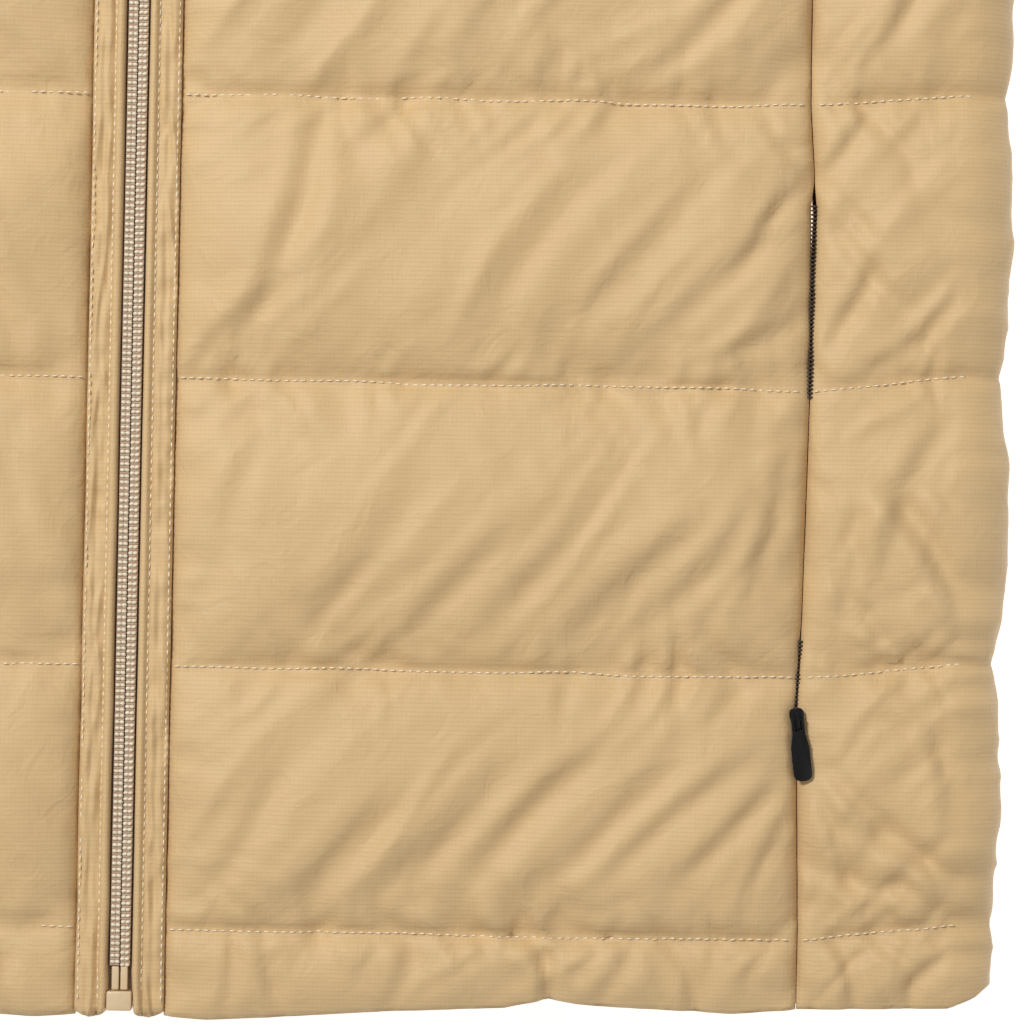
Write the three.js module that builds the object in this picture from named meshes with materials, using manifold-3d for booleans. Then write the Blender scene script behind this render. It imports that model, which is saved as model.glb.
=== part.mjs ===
// A padded down vest, zipped shut and lying flat on its back. Millimetres.
// +X is the wearer's left, +Y runs from hem to collar, +Z points up off the surface.
// Heights along the vest (y) are measured from the hem; the group is centred at the end.
import * as THREE from 'three';
import { mergeVertices } from 'three/addons/utils/BufferGeometryUtils.js';
import Module from 'manifold-3d';

const wasm = await Module();
wasm.setup();

// ---- Driving dimensions -------------------------------------------------------------------

const GAP = 0.3; // between sewn pieces
const CLOTH = 3; // both skins and the flattened fill where a line of stitches holds them

// Heights of the two padded layers above the surface that the vest lies on.
const FRONT = { crown: 27.5, seam: 20.3 };
const BACK = { crown: 0, seam: 4 };
const MIDDLE = 13.15; // where the front layer meets the back layer

const PANEL_EDGE = 13.3; // front panel's edge beside the placket, from the zip's centre
const SIDE_SEAM = 203.85; // seam that joins the side panel, from the zip's centre
const FOLD_AXIS = 249; // where the side panel starts to turn under
const HALF_WIDTH = 262; // at the side folds, on a stitch line
const SCALLOP = 2.6; // how far a baffle stands out past its stitch lines at the fold
const FADE = 22; // width over which the padding fills out from a seam

// Lines of quilting: height on the front, and at the side fold where the line climbs a little.
const QUILTING = [
  { front: 25, fold: 31 },
  { front: 104.3, fold: 109.6 },
  { front: 191, fold: 196 },
  { front: 276.7, fold: 280.4 },
  { front: 362.5, fold: 366 },
  { front: 448.5, fold: 452 },
  { front: 534.5, fold: 538 },
  { front: 620.5, fold: 624 },
];

// Hem edge: height at a distance from the zip.
const HEM = [
  { x: 0, y: -0.3 },
  { x: 26, y: -2.1 },
  { x: 80, y: 1.5 },
  { x: 142, y: 4.3 },
  { x: 204, y: 4.3 },
  { x: 249, y: 5.7 },
  { x: 262, y: 10 },
];

// Armhole: edge of the front and back panels above the side panel, then across the side panel.
const ARMHOLE = [
  { y: 430, x: SIDE_SEAM },
  { y: 448.5, x: 195 },
  { y: 475, x: 186 },
  { y: 505, x: 179.5 },
  { y: 534.5, x: 178 },
  { y: 577, x: 180.5 },
  { y: 620.5, x: 188 },
  { y: 640, x: 192 },
];
const UNDERARM = [
  { x: SIDE_SEAM, y: 430 },
  { x: 211, y: 423 },
  { x: 226, y: 414 },
  { x: 249, y: 407 },
  { x: 262, y: 405 },
];

// Necklines, from the centre out to the top of the shoulder, and the sloping shoulder.
const NECK_FRONT = [
  { x: PANEL_EDGE, y: 580 },
  { x: 40, y: 584 },
  { x: 60, y: 600 },
  { x: 71.5, y: 620.5 },
  { x: 80, y: 645 },
  { x: 85, y: 665 },
];
const NECK_BACK = [
  { x: 0, y: 642 },
  { x: 30, y: 643.5 },
  { x: 60, y: 650 },
  { x: 85, y: 665 },
];
const COLLAR = { height: 72, swell: 0.55, reach: 8 };

// Centre-front zip: half widths from its centre line, and heights.
const TAPE = { half: 13, bottom: 17.3, top: 18 };
const COIL = { inner: 0.2, outer: 3, bottom: 18.3, top: 20.6, start: 13.8, end: 640 };
const PIN = { inner: 0.25, outer: 2.4, start: 6.4, end: 13.5 };
const BOX = { half: 3.8, start: 0.2, end: 6.1, bottom: 16.8, top: 21.8 };
const PLACKET = { inner: 3.5, rollTop: 22.5, end: 651.5 };

// The side seam bows a little where the pocket zip is set into it.
const SEAM_BOW = [
  { y: 29, x: 203.85 },
  { y: 72, x: 202.8 },
  { y: 96, x: 202.1 },
  { y: 122, x: 203.3 },
  { y: 188, x: 204.4 },
  { y: 255, x: 204.6 },
  { y: 277, x: 203 },
  { y: 310, x: 202.8 },
  { y: 430, x: SIDE_SEAM },
];
const POCKET = { start: 88, end: 247, half: 0.9, gap: 1.2, sliderAt: 92, sliderTilt: 7 };

const CLOTH_COLOUR = { color: 0xd2b486, roughness: 0.72, metalness: 0 };
const TAPE_COLOUR = { color: 0x8f7563, roughness: 0.85, metalness: 0 };
const COIL_COLOUR = { color: 0xe2d2b8, roughness: 0.45, metalness: 0 };
const BOX_COLOUR = { color: 0xd3b78f, roughness: 0.4, metalness: 0 };
const DARK_COLOUR = { color: 0x241c18, roughness: 0.5, metalness: 0 };
const PULL_COLOUR = { color: 0x17151a, roughness: 0.25, metalness: 0.3 };

// ---- Small helpers ------------------------------------------------------------------------

const lerp = THREE.MathUtils.lerp;
const vest = new THREE.Group();

function add(name, geometry, colour) {
  const mesh = new THREE.Mesh(geometry, new THREE.MeshStandardMaterial(colour));
  mesh.name = name;
  vest.add(mesh);
  return mesh;
}

// Reads a table by straight lines between its rows.
function read(table, key, value, at) {
  const last = table.length - 1;
  if (at <= table[0][key]) return table[0][value];
  if (at >= table[last][key]) return table[last][value];
  const i = table.findIndex((row) => row[key] >= at);
  const t = (at - table[i - 1][key]) / (table[i][key] - table[i - 1][key]);
  return lerp(table[i - 1][value], table[i][value], t);
}

function mirrorX(geometry) {
  const copy = geometry.clone().scale(-1, 1, 1);
  const order = copy.index.array;
  for (let i = 0; i < order.length; i += 3) {
    [order[i], order[i + 1]] = [order[i + 1], order[i]];
  }
  return copy;
}

function addPair(name, geometry, colour) {
  add(`${name}_left`, geometry, colour);
  add(`${name}_right`, mirrorX(geometry), colour);
}

// Closed body from vertices and triangles, turned so that its faces point out.
function body(points, triangles) {
  let volume = 0;
  for (const [a, b, c] of triangles) {
    const [p, q, r] = [points[a], points[b], points[c]];
    volume += p.dot(new THREE.Vector3().crossVectors(q, r));
  }
  const order = volume > 0 ? triangles.flat() : triangles.map(([a, b, c]) => [a, c, b]).flat();
  const geometry = new THREE.BufferGeometry().setFromPoints(points);
  geometry.setIndex(order);
  return geometry;
}

// A wall between two grids of points of the same size, closed round its border.
function wall(outer, inner) {
  const rows = outer.length;
  const columns = outer[0].length;
  const points = [...outer.flat(), ...inner.flat()];
  const triangles = [];
  const at = (layer, row, column) => (layer * rows + row) * columns + column;
  const quad = (a, b, c, d) => triangles.push([a, b, c], [a, c, d]);
  for (let r = 0; r < rows - 1; r += 1) {
    for (let c = 0; c < columns - 1; c += 1) {
      quad(at(0, r, c), at(0, r, c + 1), at(0, r + 1, c + 1), at(0, r + 1, c));
      quad(at(1, r, c), at(1, r + 1, c), at(1, r + 1, c + 1), at(1, r, c + 1));
    }
    quad(at(0, r, 0), at(0, r + 1, 0), at(1, r + 1, 0), at(1, r, 0));
    const end = columns - 1;
    quad(at(0, r, end), at(1, r, end), at(1, r + 1, end), at(0, r + 1, end));
  }
  for (let c = 0; c < columns - 1; c += 1) {
    const end = rows - 1;
    quad(at(0, 0, c), at(1, 0, c), at(1, 0, c + 1), at(0, 0, c + 1));
    quad(at(0, end, c), at(0, end, c + 1), at(1, end, c + 1), at(1, end, c));
  }
  return body(points, triangles);
}

// ---- Padded cloth -------------------------------------------------------------------------

const smooth = (t) => THREE.MathUtils.smoothstep(t, 0, 1);
const fade = (distance) => smooth(distance / FADE);

// A point on a padded layer. Angle 90 is the front layer and -90 the back layer; angles
// between them go round a side fold. Swell is 0 on a seam and 1 at the fullest padding.
function layerPoint(face, { x, y, angle, swell, reach = 0 }) {
  const front = lerp(FRONT.seam, FRONT.crown, swell);
  const back = lerp(BACK.seam, BACK.crown, swell);
  const frontIn = lerp(FRONT.seam - CLOTH, MIDDLE + GAP / 2, swell);
  const backIn = lerp(BACK.seam + CLOTH, MIDDLE - GAP / 2, swell);
  const [top, bottom] = face === 'outer' ? [front, back] : [frontIn, backIn];
  const round = face === 'outer' ? reach : lerp(Math.max(reach - CLOTH, 0), 0.7, swell);
  const turn = THREE.MathUtils.degToRad(angle);
  const z = (top + bottom) / 2 + ((top - bottom) / 2) * Math.sin(turn);
  return new THREE.Vector3(x + Math.sign(x) * round * Math.cos(turn), y, z);
}

function paddedWall(grid) {
  const outer = grid.map((row) => row.map((point) => layerPoint('outer', point)));
  const inner = grid.map((row) => row.map((point) => layerPoint('inner', point)));
  return { outer, inner, geometry: wall(outer, inner) };
}

// Rows up the vest: the hem channel, then four steps to each baffle. Each row is a share of
// the way between two lines of quilting; the underside is flat across a whole baffle.
const STEPS = [
  { t: 0.2, front: 0.8, back: 1 },
  { t: 0.5, front: 1, back: 1 },
  { t: 0.8, front: 0.8, back: 1 },
  { t: 1, front: 0, back: 0 },
];
const ROWS = [
  { band: 0, t: 0, front: 0.1, back: 0.1 },
  { band: 0, t: 0.5, front: 0.45, back: 1 },
  { band: 0, t: 1, front: 0, back: 0 },
];
for (let band = 1; band < QUILTING.length; band += 1) {
  STEPS.forEach((step) => ROWS.push({ band, ...step }));
}

const seamAt = (y) => read(SEAM_BOW, 'y', 'x', y);
const acrossSide = (x) => (Math.abs(x) - SIDE_SEAM) / (FOLD_AXIS - SIDE_SEAM);
const lineHeight = (line, x) =>
  lerp(line.front, line.fold, THREE.MathUtils.clamp(acrossSide(x), 0, 1));

function rowHeight({ band, t }, x) {
  const low = band === 0 ? read(HEM, 'x', 'y', Math.abs(x)) : lineHeight(QUILTING[band - 1], x);
  return lerp(low, lineHeight(QUILTING[band], x), t);
}

// The seam opens along the pocket to let the zip in.
const seamGap = (y) => (y > POCKET.start - 5 && y < POCKET.end + 15 ? POCKET.gap : GAP / 2);

function panelEdge(y) {
  return y < ARMHOLE[0].y ? seamAt(y) - seamGap(y) : read(ARMHOLE, 'y', 'x', y);
}

// Columns between two edges: close together at the seams and even across the middle.
function columnsBetween(left, right) {
  const atSeam = [0, 7, FADE];
  const middle = [0.25, 0.5, 0.75].map((t) => lerp(left + FADE, right - FADE, t));
  return [
    ...atSeam.map((distance) => left + distance),
    ...middle,
    ...atSeam.reverse().map((distance) => right - distance),
  ];
}

// Rows across the top of a front panel, from a point of the neckline to one of the armhole.
const YOKE = [
  { neck: 0, armhole: 572, puff: 1 },
  { neck: 1, armhole: 594, puff: 0.8 },
  { neck: 2, armhole: 609, puff: 0.5 },
  { neck: 3, armhole: 620.5, puff: 0 },
  { neck: 4, armhole: 632, puff: 0.45 },
  { neck: 5, armhole: 640, puff: 0 },
];

function frontPanel() {
  const row = (left, right, height, puff) => columnsBetween(left, right).map((x) => ({
    x,
    y: height(x),
    angle: 90,
    swell: puff * fade(Math.min(x - left, right - x)),
  }));
  const below = ROWS.filter((step) => rowHeight(step, 0) < NECK_FRONT[0].y - 20);
  const grid = below.map((step) => {
    const edge = panelEdge(rowHeight(step, 0));
    return row(PANEL_EDGE, edge, (x) => rowHeight(step, x), step.front);
  });
  YOKE.forEach(({ neck, armhole, puff }) => {
    const inner = NECK_FRONT[neck];
    const edge = read(ARMHOLE, 'y', 'x', armhole);
    const height = (x) => lerp(inner.y, armhole, (x - inner.x) / (edge - inner.x));
    grid.push(row(inner.x, edge, height, puff));
  });
  return paddedWall(grid);
}

function backPanel() {
  const halves = (edge) => [edge, edge - 7, edge - FADE, 85, 60, 30];
  const topHeight = (x, edge) => {
    const [neck, tip] = [NECK_BACK.at(-1), ARMHOLE.at(-1)];
    if (x <= neck.x) return read(NECK_BACK, 'x', 'y', x);
    return lerp(neck.y, tip.y, (x - neck.x) / (edge - neck.x));
  };
  const row = (edge, height, puff) => {
    const half = halves(edge);
    const all = [...half.map((x) => -x), 0, ...half.reverse()];
    return all.map((x) => ({
      x,
      y: height(Math.abs(x)),
      angle: -90,
      swell: puff * fade(edge - Math.abs(x)),
    }));
  };
  const grid = ROWS.map((step) => {
    const edge = panelEdge(rowHeight(step, 0));
    return row(edge, (x) => rowHeight(step, x), step.back);
  });
  [{ t: 0.5, puff: 0.6 }, { t: 1, puff: 0 }].forEach(({ t, puff }) => {
    const low = QUILTING.at(-1).front;
    const edge = lerp(read(ARMHOLE, 'y', 'x', low), ARMHOLE.at(-1).x, t);
    grid.push(row(edge, (x) => lerp(low, topHeight(x, edge), t), puff));
  });
  return paddedWall(grid);
}

// The side panel wraps from the front seam, round the fold, to the back seam.
function sidePanel() {
  const flat = [0, 7, FADE];
  const turns = [90, 60, 30, 0, -30, -60, -90];
  const grid = [];
  const row = (seamX, puff, height) => {
    const reach = HALF_WIDTH - FOLD_AXIS + SCALLOP * puff.front;
    const station = (distance, angle) => {
      const x = Math.min(seamX + distance, FOLD_AXIS);
      const out = reach * Math.cos(THREE.MathUtils.degToRad(angle));
      const swell = (angle > 0 ? puff.front : puff.back) * fade(distance);
      return { x, y: height(x + out), angle, reach, swell };
    };
    grid.push([
      ...flat.map((distance) => station(distance, 90)),
      ...turns.map((angle) => station(FOLD_AXIS, angle)),
      ...[...flat].reverse().map((distance) => station(distance, -90)),
    ]);
  };
  ROWS.filter(({ band }) => band < 5).forEach((step) => {
    const y = rowHeight(step, SIDE_SEAM);
    row(seamAt(y) + seamGap(y), step, (x) => rowHeight(step, x));
  });
  [{ t: 0.5, front: 0.8, back: 1 }, { t: 1, front: 0, back: 0 }].forEach((puff) => {
    const height = (x) => lerp(lineHeight(QUILTING[4], x), read(UNDERARM, 'x', 'y', x), puff.t);
    row(seamAt(height(SIDE_SEAM)) + GAP / 2, puff, height);
  });
  return paddedWall(grid);
}

// Stand collar: a flattened ring, open at the zip, with one line of quilting round its middle.
function collar() {
  const half = [
    ...NECK_FRONT.slice(0, -1).map(({ x, y }) => ({ x: x - (x > PANEL_EDGE ? GAP : 0), y, angle: 90 })),
    ...[90, 45, 0, -45, -90].map((angle) => ({ ...NECK_FRONT.at(-1), angle })),
    ...NECK_BACK.slice(0, -1).reverse().map(({ x, y }) => ({ x, y, angle: -90 })),
  ];
  const other = half.slice(0, -1).reverse().map((station) => ({ ...station, x: -station.x }));
  const ring = [...half, ...other];
  const bands = [
    { v: 0, puff: 0 },
    { v: 0.25, puff: 1 },
    { v: 0.5, puff: 0 },
    { v: 0.75, puff: 1 },
    { v: 1, puff: 0.3 },
  ];
  const grid = bands.map(({ v, puff }) => ring.map(({ x, y, angle }) => ({
    x,
    y: y + GAP + v * COLLAR.height,
    angle,
    reach: COLLAR.reach,
    swell: COLLAR.swell * puff * (Math.abs(x) > PANEL_EDGE || angle < 0 ? 1 : 0),
  })));
  return paddedWall(grid);
}

// Binding round an armhole, made from the panels' own edge points and moved out from them.
function armholeBinding(front, side, back) {
  const BINDING = 6;
  const up = (panel, last) => panel.outer
    .map((row, r) => ({ outer: row[last], inner: panel.inner[r][last] }))
    .filter(({ outer }) => outer.y > ARMHOLE[0].y + 5);
  const top = side.outer.length - 1;
  const across = side.outer[top].map((outer, c) => ({ outer, inner: side.inner[top][c] }));
  const edge = [
    ...up(front, front.outer[0].length - 1).reverse(),
    ...across,
    ...up(back, back.outer[0].length - 1),
  ];
  const sections = edge.map(({ outer, inner }, i) => {
    const before = edge[Math.max(i - 1, 0)].outer;
    const after = edge[Math.min(i + 1, edge.length - 1)].outer;
    const along = new THREE.Vector3().subVectors(after, before);
    const through = new THREE.Vector3().subVectors(outer, inner);
    const out = new THREE.Vector3().crossVectors(through, along).normalize();
    const moved = (point, distance) => point.clone().addScaledVector(out, distance);
    return [moved(outer, GAP), moved(outer, BINDING), moved(inner, BINDING), moved(inner, GAP)];
  });
  const outer = sections.map(([a, b]) => [a, b]);
  const inner = sections.map((section) => [section[3], section[2]]);
  return wall(outer, inner);
}

const front = frontPanel();
const side = sidePanel();
const back = backPanel();
addPair('front', front.geometry, CLOTH_COLOUR);
addPair('side', side.geometry, CLOTH_COLOUR);
add('back', back.geometry, CLOTH_COLOUR);
add('collar', collar().geometry, CLOTH_COLOUR);
addPair('armhole_binding', armholeBinding(front, side, back), CLOTH_COLOUR);

// ---- Centre-front zip ---------------------------------------------------------------------

function block({ x, y, z }) {
  const box = new THREE.BoxGeometry(x[1] - x[0], y[1] - y[0], z[1] - z[0]);
  return box.translate((x[0] + x[1]) / 2, (y[0] + y[1]) / 2, (z[0] + z[1]) / 2);
}

// Placket: a rolled edge beside the coil, a stitched groove, then a flat strip to the panel.
function placket() {
  const profile = [
    { x: PLACKET.inner, top: 20.8 },
    { x: PLACKET.inner + 0.9, top: PLACKET.rollTop },
    { x: PLACKET.inner + 2.2, top: PLACKET.rollTop },
    { x: PLACKET.inner + 3.1, top: FRONT.seam },
    { x: PLACKET.inner + 5.2, top: FRONT.seam + 0.5 },
    { x: PANEL_EDGE - GAP, top: FRONT.seam },
  ];
  // The rolled edge swings aside at the bottom to clear the zip's box.
  const rows = [
    { y: 0, aside: 1.6 },
    { y: 7, aside: 0.8 },
    { y: 14, aside: 0 },
    { y: 230, aside: 0 },
    { y: 440, aside: 0 },
    { y: PLACKET.end, aside: 0 },
  ];
  const rollWidth = profile[3].x - profile[0].x;
  const moved = ({ x }, aside) => x + aside * Math.max(0, 1 - (x - PLACKET.inner) / (rollWidth * 2));
  const outer = rows.map(({ y, aside }) =>
    profile.map((p) => new THREE.Vector3(moved(p, aside), y, p.top)));
  const inner = rows.map(({ y, aside }) =>
    profile.map((p) => new THREE.Vector3(moved(p, aside), y, TAPE.top + GAP)));
  return wall(outer, inner);
}

addPair('placket', placket(), CLOTH_COLOUR);
addPair('zip_tape', block({
  x: [COIL.inner, TAPE.half],
  y: [BOX.end + GAP, COIL.end + 10],
  z: [TAPE.bottom, TAPE.top],
}), TAPE_COLOUR);
addPair('zip_coil', block({
  x: [COIL.inner, COIL.outer],
  y: [COIL.start, COIL.end],
  z: [COIL.bottom, COIL.top],
}), COIL_COLOUR);
addPair('zip_pin', block({
  x: [PIN.inner, PIN.outer],
  y: [PIN.start, PIN.end],
  z: [COIL.bottom, COIL.top],
}), BOX_COLOUR);
add('zip_box', block({
  x: [-BOX.half, BOX.half],
  y: [BOX.start, BOX.end],
  z: [BOX.bottom, BOX.top],
}), BOX_COLOUR);

// ---- Sliders and pulls --------------------------------------------------------------------

function solid(geometry) {
  const plain = geometry.clone();
  plain.deleteAttribute('normal');
  plain.deleteAttribute('uv');
  const { attributes, index } = mergeVertices(plain, 1e-4);
  const mesh = new wasm.Mesh({
    numProp: 3,
    vertProperties: new Float32Array(attributes.position.array),
    triVerts: new Uint32Array(index.array),
  });
  return new wasm.Manifold(mesh);
}

function geometryOf(manifold) {
  const mesh = manifold.getMesh();
  const geometry = new THREE.BufferGeometry();
  geometry.setAttribute('position', new THREE.BufferAttribute(mesh.vertProperties, 3));
  geometry.setIndex(new THREE.BufferAttribute(mesh.triVerts, 1));
  return geometry;
}

function plate(shape, bottom, top, curveSegments = 6) {
  const options = { depth: top - bottom, bevelEnabled: false, curveSegments };
  return new THREE.ExtrudeGeometry(shape, options).translate(0, 0, bottom);
}

// Slider: a plate on the coil with an arch along it. The arch's opening is at its centre.
function slider({ width, length, stem, top, arch }) {
  const outline = new THREE.Shape();
  outline.moveTo(-width * 0.35, -length / 2);
  outline.lineTo(width * 0.35, -length / 2);
  outline.lineTo(width / 2, length * 0.2);
  outline.quadraticCurveTo(width / 2, length / 2, width * 0.2, length / 2);
  outline.lineTo(-width * 0.2, length / 2);
  outline.quadraticCurveTo(-width / 2, length / 2, -width / 2, length * 0.2);
  outline.closePath();
  const bottom = COIL.top + GAP;
  const foot = { x: [-stem, stem], y: [-length / 2, length / 2], z: [bottom, top - 0.5] };
  const bridge = {
    x: [-arch.width / 2, arch.width / 2],
    y: [-arch.length / 2, arch.length / 2],
    z: [top - 0.5, top + arch.height],
  };
  const opening = {
    x: [-arch.width, arch.width],
    y: [-arch.length / 2 + arch.leg, arch.length / 2 - arch.leg],
    z: [top, top + arch.height - arch.leg],
  };
  return geometryOf(solid(plate(outline, top - 1, top))
    .add(solid(block(foot)))
    .add(solid(block(bridge)))
    .subtract(solid(block(opening))));
}

// Pull: a flat tab, wider at its rounded end, with a window whose upper bar runs through the
// slider's arch. The bar is at the origin and the tab lies along -Y.
function pull({ length, head, width, window, bar, thickness }) {
  const outline = new THREE.Shape();
  outline.moveTo(-head / 2, bar / 2);
  outline.lineTo(-head / 2, -window.length - bar);
  outline.lineTo(-width / 2, -length * 0.45);
  outline.lineTo(-width / 2, -length + width * 0.42);
  outline.quadraticCurveTo(-width / 2, -length, 0, -length);
  outline.quadraticCurveTo(width / 2, -length, width / 2, -length + width * 0.42);
  outline.lineTo(width / 2, -length * 0.45);
  outline.lineTo(head / 2, -window.length - bar);
  outline.lineTo(head / 2, bar / 2);
  outline.closePath();
  const hole = new THREE.Path();
  hole.moveTo(-window.width / 2, -bar / 2);
  hole.lineTo(window.width / 2, -bar / 2);
  hole.lineTo(window.width / 2, -window.length);
  hole.lineTo(-window.width / 2, -window.length);
  hole.closePath();
  outline.holes.push(hole);
  return geometryOf(solid(plate(outline, -thickness / 2, thickness / 2)));
}

const FRONT_SLIDER = {
  width: 8.6, length: 10.5, stem: 2.9, top: 24.2, arch: { width: 1.8, length: 7.4, leg: 1, height: 3.2 },
};
const FRONT_PULL = {
  length: 30, head: 6, width: 7.4, window: { width: 3.4, length: 5.2 }, bar: 1.2, thickness: 1.2,
};
const POCKET_SLIDER = {
  width: 4.4, length: 6.6, stem: 0.9, top: 22.2, arch: { width: 1.1, length: 4.6, leg: 0.7, height: 2.3 },
};
const POCKET_PULL = {
  length: 18.6, head: 3.8, width: 5.5, window: { width: 2.1, length: 3.4 }, bar: 0.8, thickness: 1,
};

// Height of a pull's bar: the middle of its slider's opening.
const barHeight = ({ top, arch }) => top + (arch.height - arch.leg) / 2;

const frontSliderAt = COIL.end - FRONT_SLIDER.length / 2 - 1;
add('front_slider', slider(FRONT_SLIDER).translate(0, frontSliderAt, 0), PULL_COLOUR);
const frontPullPlace = pull(FRONT_PULL).translate(0, frontSliderAt, barHeight(FRONT_SLIDER));
add('front_pull', frontPullPlace, PULL_COLOUR);

// The coil strip keeps to the middle of the opening that the panels' rows leave for it.
function pocketZip() {
  const heights = ROWS.map((step) => rowHeight(step, SIDE_SEAM))
    .filter((y) => y > POCKET.start + 1 && y < POCKET.end - 1);
  const rows = [POCKET.start, ...heights, POCKET.end];
  const strip = (z) => rows.map((y) =>
    [-POCKET.half, POCKET.half].map((x) => new THREE.Vector3(seamAt(y) + x, y, z)));
  return wall(strip(COIL.top), strip(TAPE.bottom));
}

function atPocket(geometry, z) {
  return geometry.rotateZ(THREE.MathUtils.degToRad(POCKET.sliderTilt))
    .translate(seamAt(POCKET.sliderAt), POCKET.sliderAt, z);
}

addPair('pocket_zip', pocketZip(), DARK_COLOUR);
addPair('pocket_slider', atPocket(slider(POCKET_SLIDER), 0), DARK_COLOUR);
addPair('pocket_pull', atPocket(pull(POCKET_PULL), barHeight(POCKET_SLIDER)), PULL_COLOUR);

// ---- Place: centred in X and Y, resting on z = 0 --------------------------------------------

const box = new THREE.Box3().setFromObject(vest);
vest.position.set(-(box.min.x + box.max.x) / 2, -(box.min.y + box.max.y) / 2, -box.min.z);

export default vest;
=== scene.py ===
import math

import bmesh
import bpy
import numpy as np
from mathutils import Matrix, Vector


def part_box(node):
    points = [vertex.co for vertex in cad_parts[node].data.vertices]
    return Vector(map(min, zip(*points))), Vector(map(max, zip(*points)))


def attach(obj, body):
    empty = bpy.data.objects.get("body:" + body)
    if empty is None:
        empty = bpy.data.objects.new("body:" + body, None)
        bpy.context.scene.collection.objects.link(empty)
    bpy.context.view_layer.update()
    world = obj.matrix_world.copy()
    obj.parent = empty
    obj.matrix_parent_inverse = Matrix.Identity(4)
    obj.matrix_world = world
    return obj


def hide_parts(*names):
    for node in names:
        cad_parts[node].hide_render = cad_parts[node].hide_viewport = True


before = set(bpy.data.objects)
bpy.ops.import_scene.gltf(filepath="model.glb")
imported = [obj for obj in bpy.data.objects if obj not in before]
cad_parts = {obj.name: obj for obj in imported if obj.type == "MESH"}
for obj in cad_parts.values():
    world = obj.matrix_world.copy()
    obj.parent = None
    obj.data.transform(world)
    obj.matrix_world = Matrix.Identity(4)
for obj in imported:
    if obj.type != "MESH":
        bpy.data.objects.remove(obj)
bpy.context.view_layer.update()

# ---- Camera, floor and light ----------------------------------------------------------------
# The vest lies on a pale floor under two soft lights, the main one past its right shoulder. The
# camera looks straight down on the lower left front, turned a little against the garment.
MM = 0.001
HEM_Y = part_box("placket_left")[0].y / MM  # the hem beside the zip; heights are measured from it
VIEW_X, VIEW_Y, VIEW_WIDTH = 115.3, 152.6, 307.2
VIEW_ROLL = math.radians(1.15)
CLOTH_TOP = 24.0
LIGHT_AIM = (0.1, -0.2, 0)

camera_data = bpy.data.cameras.new("camera")
camera_data.lens = 120
camera_data.sensor_width = 36
camera = bpy.data.objects.new("camera", camera_data)
distance = VIEW_WIDTH * camera_data.lens / camera_data.sensor_width
camera.location = (VIEW_X * MM, (VIEW_Y + HEM_Y) * MM, (CLOTH_TOP + distance) * MM)
camera.rotation_euler = (0, 0, VIEW_ROLL)
bpy.context.collection.objects.link(camera)
bpy.context.scene.camera = camera
bpy.context.scene.view_settings.view_transform = "Standard"

world = bpy.data.worlds.new("studio")
bpy.context.scene.world = world
world.use_nodes = True
world.node_tree.nodes["Background"].inputs["Color"].default_value = (1, 1, 1, 1)
world.node_tree.nodes["Background"].inputs["Strength"].default_value = 0.36


def area_light(name, place, aim, size, power):
    data = bpy.data.lights.new(name, "AREA")
    data.size = size
    data.energy = power
    light = bpy.data.objects.new(name, data)
    light.location = place
    direction = np.array(aim) - np.array(place)
    light.rotation_euler = (
        math.atan2(math.hypot(direction[0], direction[1]), -direction[2]),
        0,
        math.atan2(direction[1], direction[0]) - math.pi / 2,
    )
    bpy.context.collection.objects.link(light)


area_light("key_beyond_collar", (-0.85, 0.75, 1.75), LIGHT_AIM, 0.45, 35)
area_light("fill_from_side", (1.6, -0.9, 1.9), LIGHT_AIM, 1.4, 6)


def linear(code):
    channels = [int(code[i : i + 2], 16) / 255 for i in (0, 2, 4)]
    return [c / 12.92 if c < 0.04045 else ((c + 0.055) / 1.055) ** 2.4 for c in channels] + [1]


def put(tree, kind, inputs=(), **settings):
    """Adds a node with its settings, and sets or links its inputs."""
    node = tree.nodes.new(kind)
    for key, value in settings.items():
        setattr(node, key, value)
    for key, value in dict(inputs).items():
        if isinstance(value, bpy.types.NodeSocket):
            tree.links.new(value, node.inputs[key])
        else:
            node.inputs[key].default_value = value
    return node


def new_material(name):
    material = bpy.data.materials.new(name)
    material.use_nodes = True
    return material, material.node_tree, material.node_tree.nodes["Principled BSDF"]


# Painted board: matt white with faint cloudiness.
board, tree, surface = new_material("matt_white_painted_board")
clouds = put(tree, "ShaderNodeTexNoise", {"Scale": 4.0})
tone = put(tree, "ShaderNodeMapRange",
           {"Value": clouds.outputs["Fac"], "To Min": 0.94, "To Max": 0.96})
tree.links.new(tone.outputs["Result"], surface.inputs["Base Color"])
surface.inputs["Roughness"].default_value = 0.9
surface.inputs["Emission Color"].default_value = (1, 1, 1, 1)
surface.inputs["Emission Strength"].default_value = 0.65
floor_mesh = bmesh.new()
bmesh.ops.create_grid(floor_mesh, x_segments=1, y_segments=1, size=4.0)
floor_data = bpy.data.meshes.new("floor")
floor_mesh.to_mesh(floor_data)
floor = bpy.data.objects.new("floor", floor_data)
floor.location.z = -0.0005
floor_data.materials.append(board)
bpy.context.collection.objects.link(floor)

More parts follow.
